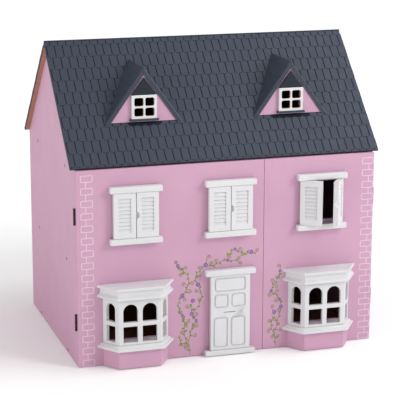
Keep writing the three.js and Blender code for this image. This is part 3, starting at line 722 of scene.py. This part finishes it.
def add_roof():
    """Both panels of the main roof; the front one has no tiles where a dormer covers it."""
    low, high = box_mm("front_roof_panel")
    rear_high = box_mm("rear_roof_panel")[1]
    half = high.x - ROOF_EDGE
    rise, run = math.sin(PITCH), math.cos(PITCH)
    for node, facing, eave_y in (("front_roof_panel", -1, low.y), ("rear_roof_panel", 1, rear_high.y)):
        eave_z = high.z - math.tan(PITCH) * (abs(eave_y) - RIDGE_HALF_JOINT)
        slope = Slope((0, eave_y, eave_z), (-facing, 0, 0), (0, -facing * run, rise))
        length = abs(eave_y) / run
        limits = (
            (1, 0, half),
            (-1, 0, half),
            (0, -1, -ROOF_EDGE),
            (0, 1, length - RIDGE_HALF_JOINT / run - ROOF_EDGE),
        )
        hidden = []
        if facing < 0:
            reach = DORMER_WELL["half"] + TILE_WIDTH / 2
            front = (DORMER_WELL["front"] - eave_y) / run - TILE_COURSE / 2
            rear = (DORMER_WELL["rear"] - eave_y) / run + TILE_COURSE / 2
            hidden = [(x - reach, x + reach, front, rear) for x in (-DORMER_AXIS, DORMER_AXIS)]
        add_tiled(node, slope, limits, half, length, ROOF_PAINTS, hidden=hidden)


# ---- Dormers ----
def add_dormer_slope(side, hand, direction):
    """One slope of a dormer; its tiles stop at the valley where it meets the main roof."""
    node = f"{side}_dormer_{hand}_slope"
    low, high = box_mm(node)
    run = high.x - low.x
    rise = high.z - low.z
    length = math.hypot(run, rise)
    up = Vector((-direction * run, 0, rise)) / length
    foot = (low.x if direction < 0 else high.x, low.y, low.z)
    slope = Slope(foot, (0, direction, 0), up)
    depth = high.y - low.y
    limits = (
        (-direction, 0, -DORMER_RIM),
        (0, 1, length - DORMER_RIM),
        (direction * length, -depth, -ROOF_EDGE * length),
    )
    paints = RIGHT_SLOPE_PAINTS if direction > 0 else DORMER_PAINTS
    add_tiled(node, slope, limits, depth, length, paints, DORMER_TILE_DEPTH, DORMER_ROUNDING)


def add_dormer_window(side):
    """A white window frame whose pane openings show the bare board inside."""
    node = f"{side}_dormer_window"
    low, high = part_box(node)
    bm = clean_copy(node)

    def from_rim(point):
        return min(point.x - low.x, high.x - point.x, point.z - low.z, high.z - point.z)

    round_edges(bm, 0.9, 4, lambda edge: all(from_rim(vert.co) < 0.2 * MM for vert in edge.verts))
    for face in bm.faces:
        if from_rim(face.calc_center_median()) > 3 * MM and abs(face.normal.y) < 0.5:
            face.material_index = RECESS
    add_piece(f"{node}_finish", bm, (WHITE, WHITE_EDGE_HIGHLIGHT, BARE), BODY_OF[node], SLOT_OF[node], [node])


def add_dormers():
    for side, _ in SIDES:
        for hand, direction in SIDES:
            add_dormer_slope(side, hand, direction)
        add_dormer_window(side)
        softened(f"{side}_dormer_gable", 0, NO_EDGE)
        softened(f"{side}_dormer_sill", 0.6, 2)
        # The pediment is painted darker as painted shade.
        softened(f"{side}_dormer_pediment", 0.6, 4, materials=(SLATE_PEDIMENT_SHADE, SLATE_PEDIMENT_SHADE))


# ---- Bay window mouldings, swept round each bay's plan ----
BAY_WALL_HALF = 65
BAY_FRONT_HALF = 41.5
BAY_DEPTH = 35
BAY_WALL_GAP = 0.3  # between a moulding and the wall
CORNICE_PROFILE = (  # offset from the bay's walls, height above the cornice's underside
    (0.5, 0), (3, 0.5), (6, 1.6), (8.2, 3), (9, 4.6), (8.9, 6), (8, 7.4), (6.6, 8.8), (5.2, 10),
    (4.3, 11.6), (4, 13.4), (4, 19), (4.4, 19.8), (6.6, 20.6), (8.4, 21.4), (9, 22.6), (9, 25.2),
    (8.4, 26.5), (7.2, 27),
)
SILL_PROFILE = (  # offset from the bay's walls, height above the sill's underside
    (0.5, 0), (7.4, 0), (8.5, 0.5), (9, 1.6), (9, 3.6), (8.6, 4.9), (7.7, 5.6), (6.2, 5.8), (5.4, 6),
    (5, 6.8), (4.2, 8), (2.8, 9.1), (1.5, 9.8), (0.9, 10.5),
)


def bay_plan(offset):
    """The bay's plan, offset outwards, from its centre line and the wall."""
    slant = (BAY_WALL_HALF - BAY_FRONT_HALF) / BAY_DEPTH
    at_wall = BAY_WALL_HALF + offset * math.hypot(1, slant)
    depth = BAY_DEPTH + offset
    near = at_wall - BAY_WALL_GAP * slant
    far = at_wall - depth * slant
    return ((-near, -BAY_WALL_GAP), (-far, -depth), (far, -depth), (near, -BAY_WALL_GAP))


def add_bay_moulding(side, level, profile):
    """A cornice or sill with one profile all round the bay."""
    node = f"{side}_bay_{level}"
    low, high = box_mm(node)
    axis = (low.x + high.x) / 2
    rings = []
    for offset, height in profile:
        rings.append([(axis + x, FRONT_LOW.y + y, low.z + height) for x, y in bay_plan(offset)])
    bm = bmesh.new()
    lofted(bm, rings)
    add_piece(f"{node}_moulding", bm, FINISHES["white_paint"], BODY_OF[node], SLOT_OF[node], [node])


def add_bay_mouldings():
    for side, _ in SIDES:
        add_bay_moulding(side, "cornice", CORNICE_PROFILE)
        add_bay_moulding(side, "sill", SILL_PROFILE)


# ---- Screws through the side walls into the ends of the floors ----
SCREW_Y = {"front": -126, "rear": 127}
SCREW_RADIUS = 3.1
SCREW_HEAD = 0.35  # proud of the wall
SCREW_ROOT = 0.5  # into the wall
SCREW_PROFILE = (  # radius, height over the wall's face
    (SCREW_RADIUS, -SCREW_ROOT),
    (SCREW_RADIUS, SCREW_HEAD * 0.4),
    (SCREW_RADIUS * 0.86, SCREW_HEAD),
)
SCREW_CROSS = {"arm": 0.4, "reach": 1.5, "depth": 0.5}


def add_screws():
    for side, direction in SIDES:
        low, high = box_mm(f"{side}_side_wall")
        face = high.x if direction > 0 else low.x
        for floor in ("base_board", "first_floor", "attic_floor"):
            floor_low, floor_high = box_mm(floor)
            z = (floor_low.z + floor_high.z) / 2
            for end, y in SCREW_Y.items():
                add_screw(f"{side}_{floor}_{end}_screw", face, direction, y, z)


def add_screw(name, face, direction, y, z):
    """A countersunk head with a cross recess, a little proud of the wall."""
    def place(a, b, height):
        return (face + direction * height, y + a, z + b)

    bm = bmesh.new()
    rings = []
    for radius, height in SCREW_PROFILE:
        rings.append(closed_loop(bm, [place(a, b, height) for a, b in circle((0, 0), radius, 24)]))
    skin(bm, rings[0], rings[1])
    skin(bm, rings[1], rings[2])
    bm.faces.new(rings[0])
    arm, reach = SCREW_CROSS["arm"], SCREW_CROSS["reach"]
    cross = []
    for quarter in range(4):
        angle = math.radians(90 * quarter)
        cosine, sine = math.cos(angle), math.sin(angle)
        for a, b in ((reach, -arm), (reach, arm), (arm, arm)):
            cross.append((a * cosine - b * sine, a * sine + b * cosine))
    top = closed_loop(bm, [place(a, b, SCREW_HEAD) for a, b in cross])
    bottom = closed_loop(bm, [place(a, b, SCREW_HEAD - SCREW_CROSS["depth"]) for a, b in cross])
    skin(bm, top, bottom)
    bm.faces.new(bottom)
    filled_face(bm, [rings[2], top])
    add_piece(name, bm, (SCREW,), "house", "bronze")


# ---- Printed decoration on the front leaves ----
INK_HEIGHT = 0.12
LINE_WIDTH = 1.5
BRICK = {"width": 22.5, "height": 12, "first_top": 14, "step": 24, "count": 16, "corner": 1.6}
BRICK_INSET = {"left": 8.5, "right": 2.5}  # from the front's outer edges to the bricks
LINK_INSET = {"left": 18, "right": 11.5}  # and to the lines between them
STEM_WIDTH = 1.2
TENDRIL_WIDTH = 1.3
TENDRIL_TURN = math.radians(510)
LEAF_SPACING = 8
PETALS = 5
STEM, LEAF, PETAL, HEART = range(4)  # places in a vine's list of inks


def on_front(a, b, height):
    """A point over the outer face of the closed front leaves."""
    return (a, FRONT_LOW.y - height, b)


def add_quoins(side, direction):
    """A column of outlined bricks up the outer edge of a front leaf, joined by short lines."""
    bm = bmesh.new()
    outer = FRONT_HALF - BRICK_INSET[side]
    left, right = sorted((direction * outer, direction * (outer - BRICK["width"])))
    link = direction * (FRONT_HALF - LINK_INSET[side])
    line = LINE_WIDTH / 2
    for k in range(BRICK["count"]):
        top = BRICK["first_top"] + k * BRICK["step"]
        bottom = top - BRICK["height"]
        rings = []
        for grow, height in ((line, 0), (line, INK_HEIGHT), (-line, INK_HEIGHT), (-line, 0)):
            outline = rounded_rectangle(
                left - grow, right + grow, bottom - grow, top + grow, BRICK["corner"] + grow, 3)
            rings.append(closed_loop(bm, [on_front(a, b, height) for a, b in outline]))
        for ring, following in zip(rings, rings[1:] + rings[:1]):
            skin(bm, ring, following)
        if k + 1 < BRICK["count"]:
            low, high = top + line, bottom + BRICK["step"] - line
            corners = ((link - line, low), (link + line, low), (link + line, high), (link - line, high))
            plate(bm, corners, on_front, 0, INK_HEIGHT)
    add_piece(f"{side}_quoin_lines", bm, (LINE_INK,), f"{side}_front", "pink_paint")


def smooth_path(points, steps=6):
    """A Catmull-Rom curve through the points."""
    path = []
    padded = [points[0], *points, points[-1]]
    for before, start, end, after in zip(padded, padded[1:], padded[2:], padded[3:]):
        for k in range(steps):
            t = k / steps
            weights = (
                -0.5 * t + t * t - 0.5 * t ** 3,
                1 - 2.5 * t * t + 1.5 * t ** 3,
                0.5 * t + 2 * t * t - 1.5 * t ** 3,
                -0.5 * t * t + 0.5 * t ** 3,
            )
            path.append(tuple(
                sum(weight * point[axis] for weight, point in zip(weights, (before, start, end, after)))
                for axis in (0, 1)
            ))
    path.append(tuple(points[-1]))
    return path


def ribbon(bm, path, width):
    """A flat closed ribbon along a path, tapered towards its end."""
    last = len(path) - 1
    rings = []
    for k, (x, y) in enumerate(path):
        ahead = path[min(k + 1, last)]
        behind = path[max(k - 1, 0)]
        dx, dy = ahead[0] - behind[0], ahead[1] - behind[1]
        size = math.hypot(dx, dy) or 1
        half = width / 2 * min(1, 0.65 + 1.05 * (1 - k / last))
        left = (x - dy / size * half, y + dx / size * half)
        right = (x + dy / size * half, y - dx / size * half)
        rings.append([
            on_front(*left, 0),
            on_front(*left, INK_HEIGHT),
            on_front(*right, INK_HEIGHT),
            on_front(*right, 0),
        ])
    lofted(bm, rings, STEM)


def curl(bm, anchor, centre, radius):
    """A tendril: a tail that leaves its anchor and winds up round a centre."""
    dx, dy = anchor[0] - centre[0], anchor[1] - centre[1]
    distance = math.hypot(dx, dy)
    turn = 1 if (centre[0] + centre[1]) % 2 < 1 else -1
    start = math.atan2(dy, dx)
    if distance > radius:
        start += turn * math.acos(radius / distance)
    path = [anchor]
    steps = 22
    for k in range(steps + 1):
        share = k / steps
        angle = start + turn * share * TENDRIL_TURN
        reach = radius * (1 - 0.82 * share)
        path.append((centre[0] + reach * math.cos(angle), centre[1] + reach * math.sin(angle)))
    ribbon(bm, path, TENDRIL_WIDTH)


def leaf(bm, base, heading, length):
    """A pointed oval leaf."""
    width = length * 0.27
    outline = []
    steps = 5
    for sign in (-1, 1):
        for k in range(steps):
            share = k / steps if sign < 0 else 1 - k / steps
            across = sign * width * math.sin(math.pi * share ** 0.8)
            along = length * share
            outline.append((
                base[0] + along * math.cos(heading) - across * math.sin(heading),
                base[1] + along * math.sin(heading) + across * math.cos(heading),
            ))
    plate(bm, outline, on_front, 0, INK_HEIGHT + 0.02, LEAF)


def flower(bm, centre, radius, turn):
    """Five round petals with paler petals on them and a round heart."""
    for reach, level, index in ((radius, 0.04, PETAL), (radius * 0.5, 0.08, HEART)):
        for k in range(PETALS):
            heading = math.radians(360 / PETALS * k + turn)
            out = reach * 0.58
            middle = (centre[0] + out * math.cos(heading), centre[1] + out * math.sin(heading))
            height = INK_HEIGHT + level + 0.004 * k
            plate(bm, circle(middle, reach * 0.44, 12), on_front, 0, height, index)
    plate(bm, circle(centre, radius * 0.2, 12), on_front, 0, INK_HEIGHT + 0.16, PETAL)


def add_vine(name, body, stems, curls, flowers, seed):
    """A climbing plant: stems through listed points, leaves along them, tendrils and flowers."""
    chance = random.Random(seed)
    bm = bmesh.new()
    paths = [smooth_path(stem) for stem in stems]
    for path in paths:
        ribbon(bm, path, STEM_WIDTH)
    spots = [spot for path in paths for spot in path]
    for centre in curls:
        anchor = min(spots, key=lambda spot: math.dist(spot, centre))
        curl(bm, anchor, centre, chance.uniform(3.4, 4.2))
    for path in paths:
        walked = 0
        side = 1
        for start, end in zip(path, path[1:]):
            walked += math.dist(start, end)
            near_flower = any(math.dist(start, (x, z)) < radius + 1 for x, z, radius in flowers)
            if walked > LEAF_SPACING and not near_flower:
                along = math.atan2(end[1] - start[1], end[0] - start[0])
                heading = along + side * chance.uniform(0.5, 1.1)
                leaf(bm, start, heading, chance.uniform(5.0, 8.0))
                walked = chance.uniform(0, 3)
                side = -side
    for x, z, radius in flowers:
        flower(bm, (x, z), radius, chance.uniform(0, 72))
    add_piece(name, bm, (STEM_INK, LEAF_INK, PETAL_INK, HEART_INK), body, "pink_paint")


def add_vines():
    add_vine(
        "left_wall_vine", "left_front",
        stems=(
            ((-78, 5), (-78, 14), (-83, 25), (-89, 42), (-90, 60), (-90, 72), (-94, 85)),
            ((-94, 85), (-101, 99), (-101, 113), (-94, 125), (-85, 139), (-81, 154), (-84, 166),
             (-94, 176), (-103, 186), (-107, 191)),
            ((-83, 25), (-79, 42), (-74, 60), (-66, 72)),
            ((-66, 72), (-70, 80), (-75, 87), (-76, 100), (-73, 113)),
            ((-75, 87), (-63, 100), (-56, 118), (-57, 132), (-63, 145), (-68, 158), (-62, 170),
             (-47, 183)),
            ((-47, 183), (-38, 180), (-27, 183), (-13, 188), (-2, 189), (10, 187), (20, 185)),
            ((-5, 190), (-1, 199), (12, 210), (22, 203), (35, 200), (46, 201), (54, 200)),
            ((-87, 30), (-95, 28), (-99, 36), (-98, 46)),
        ),
        curls=(
            (-107, 194), (-35, 186), (-25, 190), (-40, 199), (1, 196), (24, 182), (20, 192), (24, 209),
            (27, 198), (57, 205), (-84, 103), (-90, 117), (-97, 92), (-60, 114), (-79, 132), (-66, 133),
            (-92, 148), (-75, 148), (-59, 163), (-60, 178), (-66, 86), (-71, 79), (-65, 63), (-71, 61),
            (-86, 63), (-92, 78), (-82, 74), (-95, 51), (-68, 44), (-98, 27), (-89, 24), (-86, 18),
            (-98, 178), (-97, 167), (-87, 180),
        ),
        flowers=(
            (-94, 85.5, 3.2), (-94, 125.5, 4.6), (-103, 186, 3.8), (-66, 73, 3.2), (-75, 87, 4.4),
            (-73, 113.5, 4.4), (-62.5, 145, 4.6), (-47, 183, 4.6), (-2, 189, 3.4), (12.5, 210, 3.4),
            (46, 201.5, 4.6),
        ),
        seed=3,
    )
    add_vine(
        "right_wall_vine", "right_front",
        stems=(
            ((99, 5), (97, 18), (96, 30), (89, 42), (90, 56), (95, 75)),
            ((96, 30), (100, 46), (103, 62), (108, 76), (109, 85), (106, 100), (99, 110), (89, 118),
             (92, 130), (100, 142), (106, 158)),
        ),
        curls=(
            (92, 87), (104, 78), (98, 99), (85, 111), (90, 140), (98, 127), (103, 146), (103, 169),
            (85, 57), (95, 60), (84, 36), (103, 25), (104, 50), (108, 38), (92, 24), (101, 118),
        ),
        flowers=((95, 75, 4.4), (109, 85, 4.2), (106, 100, 3.2), (88, 119, 3.4), (106, 158, 3.4)),
        seed=5,
    )


def add_decoration():
    for side, direction in SIDES:
        add_quoins(side, direction)
    add_vines()


# ---- Studio ----
WORLD_STRENGTH = 0.57
BACKDROP_STRENGTH = 1.0
LIGHTS = (  # name, place, target, size, power and colour
    ("key", (2.35, -2.4, 2.1), (0, 0, 0.25), 1.6, 59, (1.0, 1.0, 1.0)),
    ("fill", (-3.0, -1.0, 1.2), (0, 0, 0.3), 2.0, 19.5, (1.0, 0.95, 0.91)),
    ("top", (1.3, -0.4, 2.4), (0, 0, 0.5), 1.0, 15, (1.0, 1.0, 1.0)),
)
FLOOR_REACH = 22.0
FLOOR_DROP = 0.0005  # below the house, in metres
FLOOR_GLOW = (0.3, 1.8, 0.06, 0.46)  # near and far distance, then the glow at each, to fade to white


def add_area_light(name, place, target, size, power, color):
    data = bpy.data.lights.new(name, "AREA")
    data.shape = "DISK"
    data.size = size
    data.energy = power
    data.color = color
    light = bpy.data.objects.new(name, data)
    bpy.context.scene.collection.objects.link(light)
    light.location = place
    light.rotation_mode = "QUATERNION"
    light.rotation_quaternion = (Vector(target) - Vector(place)).to_track_quat("-Z", "Y")


def add_world():
    """Even light from all round, and a white backdrop where a camera ray meets nothing."""
    world = bpy.data.worlds.new("studio")
    bpy.context.scene.world = world
    world.use_nodes = True
    tree = world.node_tree
    background = tree.nodes["Background"]
    background.inputs["Color"].default_value = (1, 1, 1, 1)
    path = tree.nodes.new("ShaderNodeLightPath")
    spread = tree.nodes.new("ShaderNodeMapRange")
    spread.inputs["To Min"].default_value = WORLD_STRENGTH
    spread.inputs["To Max"].default_value = BACKDROP_STRENGTH
    tree.links.new(path.outputs["Is Camera Ray"], spread.inputs["Value"])
    tree.links.new(spread.outputs["Result"], background.inputs["Strength"])


def add_floor():
    """A pale floor under the house that fades into the white backdrop."""
    surface = Surface("studio_floor")
    surface.shader.inputs["Roughness"].default_value = 0.9
    surface.shader.inputs["Specular IOR Level"].default_value = 0.1
    surface.shader.inputs["Emission Color"].default_value = (1, 1, 1, 1)
    surface.feed(surface.ramp(surface.noise(3.0), (0.3, (0.93, 0.93, 0.93)), (0.7, (0.95, 0.95, 0.95))))
    length = surface.add("ShaderNodeVectorMath", links={0: surface.place}, operation="LENGTH")
    glow = surface.spread(length.outputs["Value"], *FLOOR_GLOW)
    surface.tree.links.new(glow, surface.shader.inputs["Emission Strength"])
    bm = bmesh.new()
    corners = ((-1, -1), (1, -1), (1, 1), (-1, 1))
    bm.faces.new([bm.verts.new((x * FLOOR_REACH, y * FLOOR_REACH, -FLOOR_DROP)) for x, y in corners])
    add_object("studio_floor", bm, [surface.material])


def add_studio():
    add_floor()
    add_world()
    for light in LIGHTS:
        add_area_light(*light)
    bpy.context.scene.view_settings.view_transform = "Standard"


add_camera()
add_boards()
add_windows()
add_door_frame()
add_roof()
add_dormers()
add_bay_mouldings()
add_screws()
add_decoration()
add_studio()
